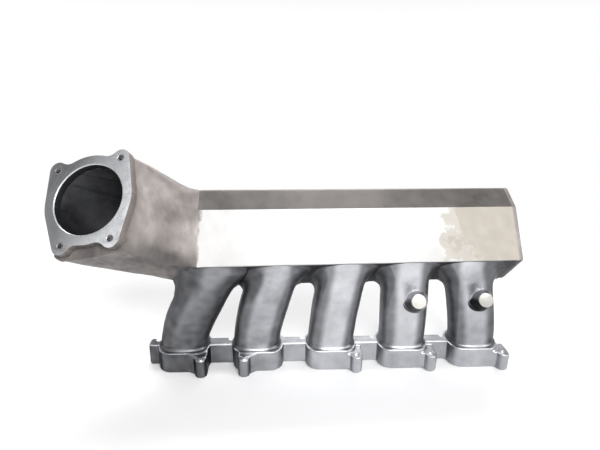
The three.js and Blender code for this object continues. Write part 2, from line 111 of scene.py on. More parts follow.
# Throttle inlet: where each corner of the section ends up round the mouth, and the flange there.
CORNER_TO_MOUTH = [-44.6, -72, -92, -112, -205, -232, -290, -308, -404.6]
THROTTLE_C = Vector((-266, -9, 208))
THROTTLE_N = Vector((-0.254, -0.769, 0.587)).normalized()
ACROSS = Vector((0, 0, 1)).cross(THROTTLE_N).normalized()
UPWARD = THROTTLE_N.cross(ACROSS)
BORE, RIM, BOLT_R, EAR_R, PLATE, HOLE_R, CHAMFER = 40.0, 51.0, 55.8, 10.0, 10.0, 4.0, 1.0
HOLLOW_R = BORE + 0.4  # the elbow's inside at the flange, just clear of the bore
BOLTS = [math.radians(a) for a in (63.9, 148.6, 254.3, 315.4)]
OUTER_SIDE = [-1, 1, -1, 1]
EAR_DIP, EAR_END = 0.36, 1.35
OUTLINE_STEPS = 720
MOUTH_CORNER, MOUTH_OPENS = 9.4, 5.0
ELBOW_LEAVES, ELBOW_ARRIVES = 1.6, 0.6
ELBOW_CROWN, CROWN_END = 6.5, 0.85
# The middle of the painted shade in the hollow beside the plenum.
DARK_HOLLOW = Vector((-168, -28, 198))

# Studio, in metres: a floor that fades out, and lights as (name, place, target, size, power).
FLOOR_HALF, FLOOR_Z, FLOOR_FADE = 2.0, -0.0005, (0.30, 0.85)
LIGHTS = [
    ("floor_fill", (0, 0.9, 1.3), (0, 0.45, 0), (1.6, 0.6), 19),
    ("key", (0.25, -1.5, 1.55), (0.05, 0, 0.12), (1.3, 0.8), 38),
    ("side", (1.6, -0.9, 0.8), (0.05, 0, 0.12), (0.8, 0.8), 10),
]

# Camera: place in millimetres, turn, height and tilt in degrees, sensor and lens in millimetres.
EYE = (-70.29, -500.98, 344.34)
AZIMUTH, ELEVATION, ROLL = 3.511, 18.587, 1.039
SENSOR, LENS = 36.0, 28.2

# The head flange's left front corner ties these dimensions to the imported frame.
flange_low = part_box("head_flange")[0]
LEFT, FRONT = RAIL[0], LUGS[0][1] - LUG_R
SHIFT = Vector((flange_low[0] - LEFT * 0.001, flange_low[1] - FRONT * 0.001, 0.0))


def to_row(p):
    """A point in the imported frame, in metres."""
    return Vector(p) * 0.001 + SHIFT


def lerp(a, b, t):
    return a + (b - a) * t


def clamp(x, high=1.0):
    return min(max(x, 0.0), high)


def smoothstep(x, a, b):
    t = clamp((x - a) / (b - a))
    return t * t * (3 - 2 * t)


def new_object(name, verts, faces, *materials, slots=None, smooth=True):
    """A mesh object from points in millimetres; slots gives each face's material number."""
    mesh = bpy.data.meshes.new(name)
    mesh.from_pydata([to_row(v) for v in verts], [], faces)
    for material in materials:
        mesh.materials.append(material)
    if slots:
        mesh.polygons.foreach_set("material_index", slots)
    mesh.update()
    bm = bmesh.new()
    bm.from_mesh(mesh)
    bmesh.ops.remove_doubles(bm, verts=bm.verts, dist=1e-7)
    bmesh.ops.recalc_face_normals(bm, faces=bm.faces)
    bm.to_mesh(mesh)
    bm.free()
    for polygon in mesh.polygons:
        polygon.use_smooth = smooth
    obj = bpy.data.objects.new(name, mesh)
    bpy.context.scene.collection.objects.link(obj)
    return obj


def apply_modifiers(obj):
    """Bakes an object's modifiers into its mesh."""
    deps = bpy.context.evaluated_depsgraph_get()
    deps.update()
    baked = bpy.data.meshes.new_from_object(obj.evaluated_get(deps))
    obj.modifiers.clear()
    obj.data = baked


def cut(obj, *cutters):
    """Takes the cutters out of the object and removes them."""
    for cutter in cutters:
        mod = obj.modifiers.new("cut", "BOOLEAN")
        mod.operation = "DIFFERENCE"
        mod.solver = "EXACT"
        mod.object = cutter
    apply_modifiers(obj)
    for cutter in cutters:
        bpy.data.objects.remove(cutter)


def sharpen(obj, angle):
    """Smooth shading with edges sharper than the angle kept crisp."""
    mesh = obj.data
    mesh.shade_smooth()
    mesh.set_sharp_from_angle(angle=math.radians(angle))


def bevel(obj, width, segments, angle):
    """Rounds the edges sharper than the angle, by a width in millimetres."""
    mod = obj.modifiers.new("round", "BEVEL")
    mod.width = width * 0.001
    mod.segments = segments
    mod.limit_method = "ANGLE"
    mod.angle_limit = math.radians(angle)
    apply_modifiers(obj)


def uneven(p, amount):
    """The slow unevenness of a sand-cast skin, in millimetres."""
    q = Vector(p)
    return amount * (noise.noise(q / 31.0) + 0.45 * noise.noise(q / 9.0 + Vector((7, 3, 1))))


# ---- materials ----
def new_material(name):
    """A material with its nodes, its links and its shader."""
    material = bpy.data.materials.new(name)
    material.use_nodes = True
    nodes = material.node_tree.nodes
    return material, nodes, material.node_tree.links, nodes["Principled BSDF"]


def feed(links, socket, value):
    """Links a socket to another one, or sets it to a colour or a number."""
    if hasattr(value, "links"):
        links.new(value, socket)
    elif isinstance(value, tuple):
        socket.default_value = (*value, 1)
    else:
        socket.default_value = value


def mix(nodes, links, factor, a, b):
    """Mixes two colours."""
    node = nodes.new("ShaderNodeMix")
    node.data_type = "RGBA"
    feed(links, node.inputs[0], factor)
    feed(links, node.inputs[6], a)
    feed(links, node.inputs[7], b)
    return node.outputs[2]


def arithmetic(nodes, links, operation, *values):
    """One step of arithmetic on sockets and numbers."""
    node = nodes.new("ShaderNodeMath")
    node.operation = operation
    for socket, value in zip(node.inputs, values):
        feed(links, socket, value)
    return node.outputs[0]


def ramp(nodes, links, value, low, high, a=0.0, b=1.0):
    """Maps low to high onto a to b, held beyond the ends."""
    node = nodes.new("ShaderNodeMapRange")
    node.clamp = True
    links.new(value, node.inputs[0])
    for socket, number in zip(node.inputs[1:5], (low, high, a, b)):
        socket.default_value = number
    return node.outputs[0]


def noise_of(nodes, links, coords, scale, detail=4.0, rough=0.55):
    """Cloudy noise between 0 and 1; the higher the scale, the finer it is."""
    node = nodes.new("ShaderNodeTexNoise")
    node.inputs["Scale"].default_value = scale
    node.inputs["Detail"].default_value = detail
    node.inputs["Roughness"].default_value = rough
    links.new(coords, node.inputs["Vector"])
    return node.outputs["Fac"]


def metal(name, dark, light, rough, metallic, grain=0.35, mottle=45.0, worn=0.25,
          grime_and_shade=(0.03, 0.03, 0.032), stain_or_painted_sheen=None, marks=0.3, edge_tint=1.0):
    """A cast or machined aluminium: mottled colour, worn edges, grain in roughness and bump, with painted
    shade and painted highlights from each point's tone.
    """
    material, nodes, links, shader = new_material(name)
    coords = nodes.new("ShaderNodeTexCoord").outputs["Object"]
    large = noise_of(nodes, links, coords, mottle)
    patch = noise_of(nodes, links, coords, mottle * 4.3, 5.0, 0.6)
    fine = noise_of(nodes, links, coords, 900.0, 3.0, 0.6)
    colour = mix(nodes, links, ramp(nodes, links, large, 0.36, 0.64), dark, light)
    colour = mix(nodes, links, ramp(nodes, links, patch, 0.45, 0.65, 0.0, 0.35), colour, light)
    colour = mix(nodes, links, ramp(nodes, links, patch, 0.30, 0.44, 0.35, 0.0), colour, dark)
    scuff = noise_of(nodes, links, coords, 320.0, 6.0, 0.75)
    colour = mix(nodes, links, ramp(nodes, links, scuff, 0.62, 0.72, 0.0, marks), colour, light)
    colour = mix(nodes, links, ramp(nodes, links, scuff, 0.34, 0.27, 0.0, marks), colour, grime_and_shade)
    # The layer adds real stains on the front panel and a painted sheen on the throttle face.
    if stain_or_painted_sheen:
        colour = stain_or_painted_sheen(nodes, links, coords, colour)
    geometry = nodes.new("ShaderNodeNewGeometry")
    # Lighter colour, for worn edges and for painted highlights.
    bright = tuple(min(1.0, c * 1.8) for c in light)
    edge = ramp(nodes, links, geometry.outputs["Pointiness"], 0.52, 0.60, 0.0, worn)
    colour = mix(nodes, links, edge, colour, bright)
    # Painted shade towards the dark colour where the tone runs to 1, painted highlight where it runs to
    # -1.
    tone = nodes.new("ShaderNodeAttribute")
    tone.attribute_name = "tone"
    colour = mix(nodes, links, ramp(nodes, links, tone.outputs["Fac"], 0.0, 1.0), colour, grime_and_shade)
    colour = mix(nodes, links, ramp(nodes, links, tone.outputs["Fac"], 0.0, -1.0), colour, bright)
    links.new(colour, shader.inputs["Base Color"])
    shader.inputs["Metallic"].default_value = metallic
    shader.inputs["Specular Tint"].default_value = (edge_tint, edge_tint, edge_tint, 1)
    uneven_gloss = ramp(nodes, links, patch, 0.3, 0.7, rough - 0.08, rough + 0.1)
    links.new(uneven_gloss, shader.inputs["Roughness"])
    bump = nodes.new("ShaderNodeBump")
    bump.inputs["Strength"].default_value = grain
    bump.inputs["Distance"].default_value = 0.0004
    links.new(arithmetic(nodes, links, "ADD", fine, patch), bump.inputs["Height"])
    links.new(bump.outputs[0], shader.inputs["Normal"])
    return material


STAIN_WANDER = 0.14
STAINS = [  # start along the row, width of its edge, strength, tint, lean with height
    (0.285, 0.06, 0.8, (0.49, 0.467, 0.435), 0.0),
    (0.310, 0.004, 0.7, (0.40, 0.365, 0.315), 0.35),
    (0.326, 0.004, 0.6, (0.35, 0.312, 0.262), 0.35),
]


def tide_mark(nodes, links, coords, wander, colour, start, edge, strength, tint, height):
    """Tints the colour beyond a wandering line across X, leaning with height."""
    place = nodes.new("ShaderNodeSeparateXYZ")
    links.new(coords, place.inputs[0])
    lean = arithmetic(nodes, links, "MULTIPLY_ADD", place.outputs[2], height, place.outputs[0])
    shifted = arithmetic(nodes, links, "MULTIPLY_ADD", wander, STAIN_WANDER, lean)
    amount = ramp(nodes, links, shifted, start, start + edge, 0.0, strength)
    return mix(nodes, links, amount, colour, tint)


def water_stain(nodes, links, coords, colour):
    """Tan tide marks towards the panel's right end, and a ragged darker strip at its left end."""
    wander = noise_of(nodes, links, coords, 22.0, 5.0, 0.62)
    place = nodes.new("ShaderNodeSeparateXYZ")
    links.new(coords, place.inputs[0])
    ragged_noise = noise_of(nodes, links, coords, 60.0, 5.0, 0.6)
    ragged = arithmetic(nodes, links, "MULTIPLY_ADD", ragged_noise, 0.016, place.outputs[0])
    left_end = SHIFT.x + PLENUM_X0 * 0.001
    dark_left_strip = ramp(nodes, links, ragged, left_end + 0.009, left_end + 0.013, 1.0, 0.0)
    colour = mix(nodes, links, dark_left_strip, colour, (0.20, 0.18, 0.17))
    for stain_or_painted_sheen in STAINS:
        colour = tide_mark(nodes, links, coords, wander, colour, *stain_or_painted_sheen)
    return colour


def painted_sheen(nodes, links, coords, colour):
    """Painted sheen: the throttle face is painted darker on its left, so it runs from dull there to bright
    on its right.
    """
    centre = to_row(THROTTLE_C)
    along = nodes.new("ShaderNodeVectorMath")
    along.operation = "DOT_PRODUCT"
    links.new(coords, along.inputs[0])
    along.inputs[1].default_value = ACROSS
    start, end = (ACROSS.dot(centre) + side * RIM * 0.001 for side in (-0.5, 0.8))
    painted_shade_left = ramp(nodes, links, along.outputs["Value"], start, end, 1.0, 0.0)
    return mix(nodes, links, painted_shade_left, colour, (0.20, 0.205, 0.215))


# Dark colour for scuff marks and for painted shade.
SOOT_AND_SHADE = (0.030, 0.030, 0.033)
cast = metal("raw_cast_aluminium", (0.44, 0.445, 0.47), (0.60, 0.61, 0.64), 0.36, 0.92,
             mottle=30.0, grime_and_shade=SOOT_AND_SHADE, marks=0.5, edge_tint=0.5)
duct = metal("duct_cast_aluminium", (0.185, 0.165, 0.155), (0.29, 0.262, 0.248), 0.55, 0.5,
             mottle=24.0, grime_and_shade=SOOT_AND_SHADE)
# Painted shade: a darker copy of the duct casting for the upward-facing top panel.
chamfer_painted_dark = metal("chamfer_aluminium_painted_dark", (0.098, 0.089, 0.083), (0.176, 0.164, 0.155), 0.5, 0.7,
                mottle=15.0, grime_and_shade=SOOT_AND_SHADE)
skimmed = metal("linished_aluminium", (0.52, 0.515, 0.505), (0.60, 0.595, 0.585), 0.62, 0.1,
                grain=0.08, worn=0.03, mottle=16.0, stain_or_painted_sheen=water_stain, marks=0.05)
# The throttle face gets the painted sheen: painted shade on its left.
machined = metal("milled_aluminium", (0.84, 0.86, 0.88), (0.90, 0.92, 0.94), 0.30, 0.72,
                 grain=0.04, mottle=40.0, worn=0.6, grime_and_shade=(0.10, 0.105, 0.11), marks=0.02,
                 stain_or_painted_sheen=painted_sheen)
bore_edge = metal("milled_edge_aluminium", (0.58, 0.585, 0.59), (0.68, 0.685, 0.69), 0.35, 0.5,
                  grain=0.05, worn=0.1, marks=0.05)
bright_face = metal("faced_aluminium", (0.56, 0.54, 0.50), (0.66, 0.64, 0.60), 0.35, 0.5,
                    grain=0.08, worn=0.1, marks=0.1)
steel = metal("insert_steel", (0.82, 0.82, 0.83), (0.94, 0.94, 0.95), 0.22, 1.0, grain=0.1, marks=0.2)
# Painted shade: near-black for the insides of runners and elbow and the throttle bore wall.
bore_painted_dark = metal("bore_painted_dark", (0.012, 0.012, 0.014), (0.035, 0.036, 0.04), 0.55, 0.4, grain=0.3)


# ---- plenum section ----
YAW_M = (
    Matrix.Translation((PLENUM_X1, CENTRE_Y, 0))
    @ Matrix.Rotation(YAW, 4, "Z")
    @ Matrix.Translation((-PLENUM_X1, -CENTRE_Y, 0))
)
YAW_BACK = YAW_M.inverted()


def section_outline(inset):
    """Points (y, z, corner coordinate) round the section, anticlockwise from the front lower edge."""
    count = len(SECTION)
    points = [Vector((y, z)) for y, z, _ in SECTION]
    along = [(points[(i + 1) % count] - points[i]).normalized() for i in range(count)]
    base = [points[i] + Vector((-along[i].y, along[i].x)) * inset for i in range(count)]
    moved = []
    for i in range(count):
        a, b = (i - 1) % count, i
        cross = along[a].x * along[b].y - along[a].y * along[b].x
        gap = base[b] - base[a]
        moved.append(base[a] + along[a] * ((gap.x * along[b].y - gap.y * along[b].x) / cross))
    turns = [math.acos(max(-1, min(1, along[i - 1].dot(along[i])))) for i in range(count)]
    radii = [max(SECTION[i][2] - inset, 1.5) for i in range(count)]
    reach = [radii[i] * math.tan(turns[i] / 2) for i in range(count)]
    outline = []
    for i in range(count):
        p = moved[i]
        start, end = p - along[i - 1] * reach[i], p + along[i] * reach[i]
        steps = max(3, round(turns[i] / SKIN_TURN))
        for k in range(steps + 1):
            t = k / steps
            q = start * (1 - t) ** 2 + p * 2 * t * (1 - t) + end * t * t
            outline.append((q.x, q.y, float(i)))
        n = (i + 1) % count
        stop = moved[n] - along[i] * reach[n]
        splits = max(1, int((points[n] - points[i]).length / SKIN_SPACING))
        for k in range(1, splits):
            q = end.lerp(stop, k / splits)
            outline.append((q.x, q.y, i + k / splits))
    return outline


def plenum_skin(outline):
    """Rings of the plenum's skin along its length, up to the end plate."""
    xs = [lerp(PLENUM_X0, PLENUM_X1 - WALL, k / SKIN_STEPS) for k in range(SKIN_STEPS + 1)]
    return [[YAW_M @ Vector((x, y, z)) for y, z, _ in outline] for x in xs]


def slab(name, outer, inner, columns, *materials):
    """A closed curved slab between matching grids; a second material covers its inner side and far rim."""
    rows, cols = len(outer), len(columns)
    verts = [outer[r][c] for r in range(rows) for c in columns]
    verts += [inner[r][c] for r in range(rows) for c in columns]
    offset = rows * cols
    faces, slots = [], []
    hidden = len(materials) - 1
    for r in range(rows - 1):
        for c in range(cols - 1):
            a, b = r * cols + c, r * cols + c + 1
            faces.append((a, b, b + cols, a + cols))
            faces.append((offset + a, offset + a + cols, offset + b + cols, offset + b))
            slots += [0, hidden]
        for c in (0, cols - 1):
            a = r * cols + c
            faces.append((a, a + cols, offset + a + cols, offset + a))
            slots.append(0)
    for r in (0, rows - 1):
        for c in range(cols - 1):
            a = r * cols + c
            faces.append((a, a + 1, offset + a + 1, offset + a))
            slots.append(hidden if r else 0)
    return new_object(name, verts, faces, *materials, slots=slots)


def columns_between(outline, first, last):
    """Column numbers from one section corner's middle to another's, in outline order."""
    count = len(outline)
    starts = {}
    for index, (_, _, corner) in enumerate(outline):
        if corner == int(corner):
            starts.setdefault(int(corner), []).append(index)
    middle = {c: ids[len(ids) // 2] for c, ids in starts.items()}
    a, b = middle[first], middle[last]
    if b <= a:
        b += count
    return [i % count for i in range(a, b + 1)]


def tube(name, rings, *materials):
    """A closed loft through rings of points."""
    count = len(rings[0])
    verts = [p for ring in rings for p in ring]
    faces = []
    for r in range(len(rings) - 1):
        for i in range(count):
            j = (i + 1) % count
            faces.append((r * count + i, r * count + j, (r + 1) * count + j, (r + 1) * count + i))
    for ring in (0, len(rings) - 1):
        faces.append(tuple(ring * count + i for i in range(count)))
    return new_object(name, verts, faces, *materials)


def oval(cx, cy, z, a, b, count=64, power=2.5):
    """A superellipse; the higher the power, the squarer it is."""
    ring = []
    for i in range(count):
        t = 2 * math.pi * i / count
        c, s = math.cos(t), math.sin(t)
        ring.append(Vector((
            cx + a * math.copysign(abs(c) ** (2 / power), c),
            cy + b * math.copysign(abs(s) ** (2 / power), s),
            z,
        )))
    return ring


# ---- runners ----
def port_x(n):
    """The middle of port n along the row."""
    return (n - (PORTS + 1) / 2) * PITCH


def axis_x(n, z):
    """The middle of runner n at height z."""
    t = clamp((z - FLANGE_T) / (LEAN_TOP - FLANGE_T), 1.5)
    return port_x(n) + FOOT_SHIFT[n - 1] + LEAN[n - 1] * t ** LEAN_POWER


SLOPE_OUT = Vector((SECTION[1][1] - SECTION[0][1], SECTION[0][0] - SECTION[1][0])).normalized()


def below_floor(p):
    """How far a point lies below the plenum's floor, or below the elbow beyond the plenum's end."""
    local = YAW_BACK @ p
    rise = max(0.0, PLENUM_X0 - local.x) * PAN_RISE
    if local.y > SECTION[1][0]:
        return SECTION[1][1] + rise - p.z
    return (local.y - SECTION[0][0]) * SLOPE_OUT.x + (p.z - SECTION[0][1]) * SLOPE_OUT.y + rise


def runner_ring(n, z, inset, count=96):
    """Runner n's section at height z; the outer skin has its bead and fillets, an inset one doesn't."""
    x = axis_x(n, z)
    up = max(0.0, (z - FLANGE_T) / (SECTION[0][1] - FLANGE_T))
    front_top = (YAW_M @ Vector((x, SECTION[0][0], 0))).y + FRONT_GAP
    front, back = lerp(-RUNNER_Y, front_top, up), lerp(RUNNER_Y, BACK_AT_TOP, up)
    middle, half_y = (front + back) / 2, (back - front) / 2
    half_x = RUNNER_X + WIDEN[n - 1] * smoothstep(z, FLANGE_T, WIDEN_TOP)
    ring = oval(x, middle, z, half_x - inset, half_y - inset, count, RUNNER_POWER)
    if inset > 0:
        return ring
    bead = BEAD * (1 - smoothstep(z, FLANGE_T, FLANGE_T + BEAD_HEIGHT)) ** 2
    for p in ring:
        side = -1 if p.x < x else 1
        outer = (side < 0 and n == 1) or (side > 0 and n == PORTS)
        forward = clamp((middle - p.y) / half_y)
        radius = OUTER_FILLET[n] if outer else lerp(SIDE_FILLET, FRONT_FILLET, forward)
        outward = min(1.0, 1.4 * abs(p.x - x) / half_x)
        spread = Vector((p.x - x, p.y - middle)).normalized() * bead
        start = abs(p.x - x)
        grown = start
        for _ in range(4 if outer else 1):
            depth = below_floor(Vector((x + side * grown, p.y, z)))
            near = clamp(1 - depth / radius)
            grown = start + outward * (1 - math.sqrt(1 - near * near)) * radius
            if outer and depth < 0:
                grown = start + max(0.0, radius + 5 * depth)
        if not outer:
            grown = min(grown, abs(axis_x(n + side, z) - x) / 2 + 0.05)
        p.x = x + side * grown + spread.x
        p.y += spread.y
    return ring


def make_runner(n):
    low = FLANGE_T - ROOT_DIP
    zs = [low + (RUNNER_TOP - low) * (k / RUNNER_STEPS) for k in range(RUNNER_STEPS + 1)]
    rings = [runner_ring(n, z, 0) for z in zs]
    for ring in rings:
        centre = sum(ring, Vector()) / len(ring)
        for p in ring:
            out = (p - centre).normalized()
            p += out * uneven(p, 0.3) * smoothstep(p.z, FLANGE_T, FLANGE_T + 8)
    obj = tube(f"runner_{n}_casting", rings, cast, bore_painted_dark)
    cut(obj, tube("bore", [runner_ring(n, z, WALL, 48) for z in BORE_HEIGHTS]), *plenum_core())
    paint(obj, runner_tone(n))
    sharpen(obj, 40)
    return obj


def plenum_core():
    """The solid inside the middle of the plenum's and elbow's walls, where every runner ends."""
    outline = section_outline(WALL / 2)
    ends = (PLENUM_X0 - 0.5, PLENUM_X1 - WALL / 2)
    rows = [[YAW_M @ Vector((x, y, z)) for y, z, _ in outline] for x in ends]
    return [tube("core", rows), tube("core", elbow_grid(outline, False, 24))]


def shade_towards_throttle(p):
    """Painted shade: the casting is painted duller towards the throttle end."""
    return smoothstep(-p.x, 20, 190)


def runner_tone(n):
    """Painted shade round the arches beside runner n, on its sides and underside, beside the elbow and
    towards both ends; a painted highlight down its front.
    """
    def tone(p, normal):
        side = smoothstep(abs(normal.x), 0.28, 0.62)
        under = smoothstep(-normal.z, 0.10, 0.36)
        across = (p.x - axis_x(n, p.z)) / RUNNER_X
        edge = (0.66 if across < 0 else 0.74) * smoothstep(abs(across), 0.30, 0.64)
        shade = max(side * (0.55 + 0.25 * smoothstep(p.z, 50, 105)), under * 0.9, edge)
        if n == 1:
            by_elbow = smoothstep(PLENUM_X0 + 4 - p.x, -8, 6) * smoothstep(p.z, 98, 118)
            shade = max(shade, 0.75 * by_elbow)
        towards = -1 if p.x < axis_x(n, p.z) else 1
        if 1 <= n + towards <= PORTS:
            seam = (axis_x(n + towards, p.z) + axis_x(n, p.z)) / 2
            above = clamp((p.z - ARCH_FROM) / (SECTION[0][1] - ARCH_FROM))
            half = ARCH_HALF
            if towards > 0:
                half = lerp(ARCH_HALF, ARCH_HALF_LOW, smoothstep(p.z, 50, ARCH_FROM))
            arch = half * math.sqrt(1 - above * above)
            strength = 0.87 if n == PORTS else lerp(0.6, 0.85, smoothstep(p.z, 78, 110))
            shade = max(shade, strength * smoothstep(arch - abs(seam - p.x), -4.0, 3.5))
        plain = -0.16 + 0.78 * shade_towards_throttle(p) + 0.42 * smoothstep(p.x, 135, 170)
        return lerp(plain, 0.95, shade)
    return tone


def paint(obj, function):
    """Stores each point's tone: painted shade towards 1, painted highlight towards -1, with a little
    random variation.
    """
    mesh = obj.data
    values = []
    for vertex in mesh.vertices:
        p = (vertex.co - SHIFT) * 1000
        tone = function(p, vertex.normal)
        values.append(max(-1.0, min(1.0, tone + 0.08 * noise.noise(p / 9.0))))
    layer = mesh.attributes.new("tone", "FLOAT", "POINT")
    layer.data.foreach_set("value", values)


# ---- throttle inlet ----
def throttle_point(angle, r, back):
    """A point round the bore's axis, some way back from the throttle face."""
    return THROTTLE_C + ACROSS * (r * math.cos(angle)) + UPWARD * (r * math.sin(angle)) - THROTTLE_N * back


def mouth_radius(angle, corner):
    """The elbow's outside at the flange: four flats between the ears, no smaller than the rim."""
    flat = BOLT_R + corner
    for i in range(4):
        a, b = BOLTS[i], BOLTS[(i + 1) % 4] + (2 * math.pi if i == 3 else 0)
        reach = BOLT_R * math.cos((b - a) / 2) + corner
        c = math.cos(angle - (a + b) / 2)
        if c > 0:
            flat = min(flat, reach / c)
    return max(RIM - 0.4, flat)


def elbow_grid(outline, hollow, rows=56):
    """Rings from the throttle flange to the plenum's open end, each point on its own curve."""
    along = (YAW_M.to_3x3() @ Vector((1, 0, 0))).normalized()
    rings = [[] for _ in range(rows + 1)]
    for y, z, corner in outline:
        low = int(corner)
        angle = math.radians(lerp(CORNER_TO_MOUTH[low], CORNER_TO_MOUTH[low + 1], corner - low))
        if hollow:
            r = HOLLOW_R
        else:
            r = mouth_radius(angle, MOUTH_CORNER + MOUTH_OPENS * max(0.0, -math.sin(angle)))
        a = throttle_point(angle, r, PLATE - JOIN)
        b = YAW_M @ Vector((PLENUM_X0 + JOIN, y, z))
        straight = b - a
        square = 0.5 - 0.5 * math.sin(angle)
        leave = (THROTTLE_N * (-ELBOW_LEAVES * straight.length)).lerp(straight, 1 - square)
        arrive = (along * (straight.length * ELBOW_ARRIVES)).lerp(straight, 0.5 - 0.5 * square)
        crown = 0 if hollow else ELBOW_CROWN * max(0.0, math.sin(angle))
        for k in range(rows + 1):
            t = k / rows
            t2, t3 = t * t, t * t * t
            p = a * (2 * t3 - 3 * t2 + 1) + leave * (t3 - 2 * t2 + t)
            p = p + b * (3 * t2 - 2 * t3) + arrive * (t3 - t2)
            p.z += crown * math.sin(math.pi * min(1.0, t / CROWN_END))
            rings[k].append(p)
    return rings


def ear_outline(angle, side):
    """One ear's outline with its tangent edge on the outer side and a dip on the other."""
    def at(a, r):
        return Vector((r * math.cos(a), r * math.sin(a)))
    centre = at(angle, BOLT_R)
    tangent = angle + side * math.acos((RIM - EAR_R) / BOLT_R)
    dip = angle - side * EAR_DIP
    points = [at(tangent, RIM), centre + at(tangent, EAR_R)]
    stop = angle - side * EAR_END
    for k in range(1, 25):
        points.append(centre + at(lerp(tangent, stop, k / 24), EAR_R))
    a, b, c = points[-1], at(angle - side * 0.2, RIM + 1), at(dip, RIM)
    for k in range(1, 9):
        t = k / 8
        points.append(a * (1 - t) ** 2 + b * 2 * t * (1 - t) + c * t * t)
    return points + [at(dip, RIM - 4), at(tangent, RIM - 4)]


def prism(name, outline, z0, z1):
    """An upright prism from an outline of (x, y) points."""
    count = len(outline)
    verts = [(p[0], p[1], z0) for p in outline] + [(p[0], p[1], z1) for p in outline]
    faces = [tuple(range(count)), tuple(range(2 * count - 1, count - 1, -1))]
    faces += [(i, (i + 1) % count, count + (i + 1) % count, count + i) for i in range(count)]
    return new_object(name, verts, faces, smooth=False)


def circle(cx, cy, r, count=48):
    """A circle's points in the plane."""
    return [(cx + r * math.cos(2 * math.pi * i / count), cy + r * math.sin(2 * math.pi * i / count))
            for i in range(count)]


def flange_outline():
    """The throttle flange's outline: for each direction, the farthest of rim and ears."""
    ears = [ear_outline(a, s) for a, s in zip(BOLTS, OUTER_SIDE)]
    points = []
    for k in range(OUTLINE_STEPS):
        angle = 2 * math.pi * k / OUTLINE_STEPS
        d = Vector((math.cos(angle), math.sin(angle)))
        best = RIM
        for ear in ears:
            for a, b in zip(ear, ear[1:] + ear[:1]):
                e = b - a
                cross = d.x * e.y - d.y * e.x
                if abs(cross) < 1e-9:
                    continue
                r = (a.x * e.y - a.y * e.x) / cross
                s = (a.x * d.y - a.y * d.x) / cross
                if r > 0 and -1e-9 <= s <= 1 + 1e-9:
                    best = max(best, r)
        points.append(d * best)
    for _ in range(6):
        following = points[1:] + points[:1]
        points = [(points[i - 1] + points[i] * 2 + after) / 4 for i, after in enumerate(following)]
    return points


def place_on_throttle(obj):
    """Turns a flat-drawn object onto the throttle plane."""
    basis = Matrix((
        (ACROSS.x, UPWARD.x, THROTTLE_N.x, 0),
        (ACROSS.y, UPWARD.y, THROTTLE_N.y, 0),
        (ACROSS.z, UPWARD.z, THROTTLE_N.z, 0),
        (0, 0, 0, 1),
    ))
    move = Matrix.Translation(to_row(THROTTLE_C)) @ basis @ Matrix.Translation(-SHIFT)
    obj.data.transform(move)


def make_throttle_flange():
    obj = prism("throttle_flange_plate", flange_outline(), -PLATE - JOIN, 0)
    bore_rings = [[Vector((x, y, z)) for x, y in circle(0, 0, r, 128)]
                  for r, z in ((BORE, -PLATE - 2), (BORE, -CHAMFER), (BORE + CHAMFER + 2, 2))]
    centres = [(BOLT_R * math.cos(angle), BOLT_R * math.sin(angle)) for angle in BOLTS]
    cutters = [tube("hole", bore_rings)]
    for x, y in centres:
        cutters.append(prism("hole", circle(x, y, HOLE_R + 0.1, 40), -PLATE - 2, 2))
    cut(obj, *cutters)
    bevel(obj, 0.4, 2, 60)
    for material in (machined, duct, bore_painted_dark, bore_edge):
        obj.data.materials.append(material)
    for polygon in obj.data.polygons:
        p = (polygon.center - SHIFT) * 1000
        r = math.hypot(p.x, p.y)
        from_hole = min(math.hypot(p.x - x, p.y - y) for x, y in centres)
        if abs(polygon.normal.z) > 0.95 or from_hole < HOLE_R + 1:
            polygon.material_index = 0
        # the throttle bore wall gets the near-black painted shade
        elif r < BORE + CHAMFER + 0.3:
            polygon.material_index = 3 if p.z > -CHAMFER - 0.1 else 2
        else:
            polygon.material_index = 1
    place_on_throttle(obj)
    # Painted shade on the flange's downward-facing sides.
    paint(obj, lambda p, normal: 0.5 * smoothstep(-normal.z, 0.0, 0.5))
    sharpen(obj, 30)
    return obj


def relax(rings, corners):
    """Fades the section's edges out towards the middle of the elbow, all but its lower front edge."""
    last = len(rings) - 1
    for k in range(1, last):
        strength = math.sin(math.pi * k / last) ** 0.5
        ring = rings[k]
        for _ in range(round(40 * strength)):
            moved = []
            for i, p in enumerate(ring):
                from_edge = min(corners[i], len(SECTION) - corners[i])
                hold = 0.5 * smoothstep(from_edge, 0.0, 0.6)
                moved.append(p.lerp((ring[i - 1] + ring[(i + 1) % len(ring)]) / 2, hold))
            ring = moved
        rings[k] = ring


def elbow_tone(p, normal):
    """Painted shade underneath, at the lip and by the lower crease, darkest in the hollow beside the
    plenum; a painted highlight by the plenum's front edge; random blotches.
    """
    under = smoothstep(-normal.z, 0.05, 0.45)
    from_hollow = (p - DARK_HOLLOW).length
    blotch = 0.5 * noise.noise(p / 17.0) + 0.35 * noise.noise(p / 6.0) + 0.2 * noise.noise(p / 2.8)
    from_throttle = p - THROTTLE_C
    low_on_mouth = smoothstep(-from_throttle.dot(UPWARD), 18, 34)
    lip = low_on_mouth * smoothstep(from_throttle.dot(THROTTLE_N), -13, -11)
    beneath = max(under * (0.48 + 0.30 * smoothstep(p.x, -200, -165)), 0.5 * lip)
    from_plenum = PLENUM_X0 - p.x
    bow = 12 * math.sin(math.pi * clamp(from_plenum / 85))
    crease = SECTION[0][1] + 0.19 * from_plenum + bow
    below_crease = smoothstep(crease - p.z, -3, 4)
    low = (1 - under) * max(0.16 * smoothstep(-p.z, -200, -165), 0.6 * below_crease)
    lit = 0.6 * smoothstep(-from_plenum, -45, -12)
    lit *= smoothstep(p.z, 150, 162) * smoothstep(-p.z, -192, -176)
    dark = max(beneath, low) + 0.3 * smoothstep(-from_hollow, -30, -8)
    return dark - lit + (0.42 + 0.25 * under) * blotch - 0.05


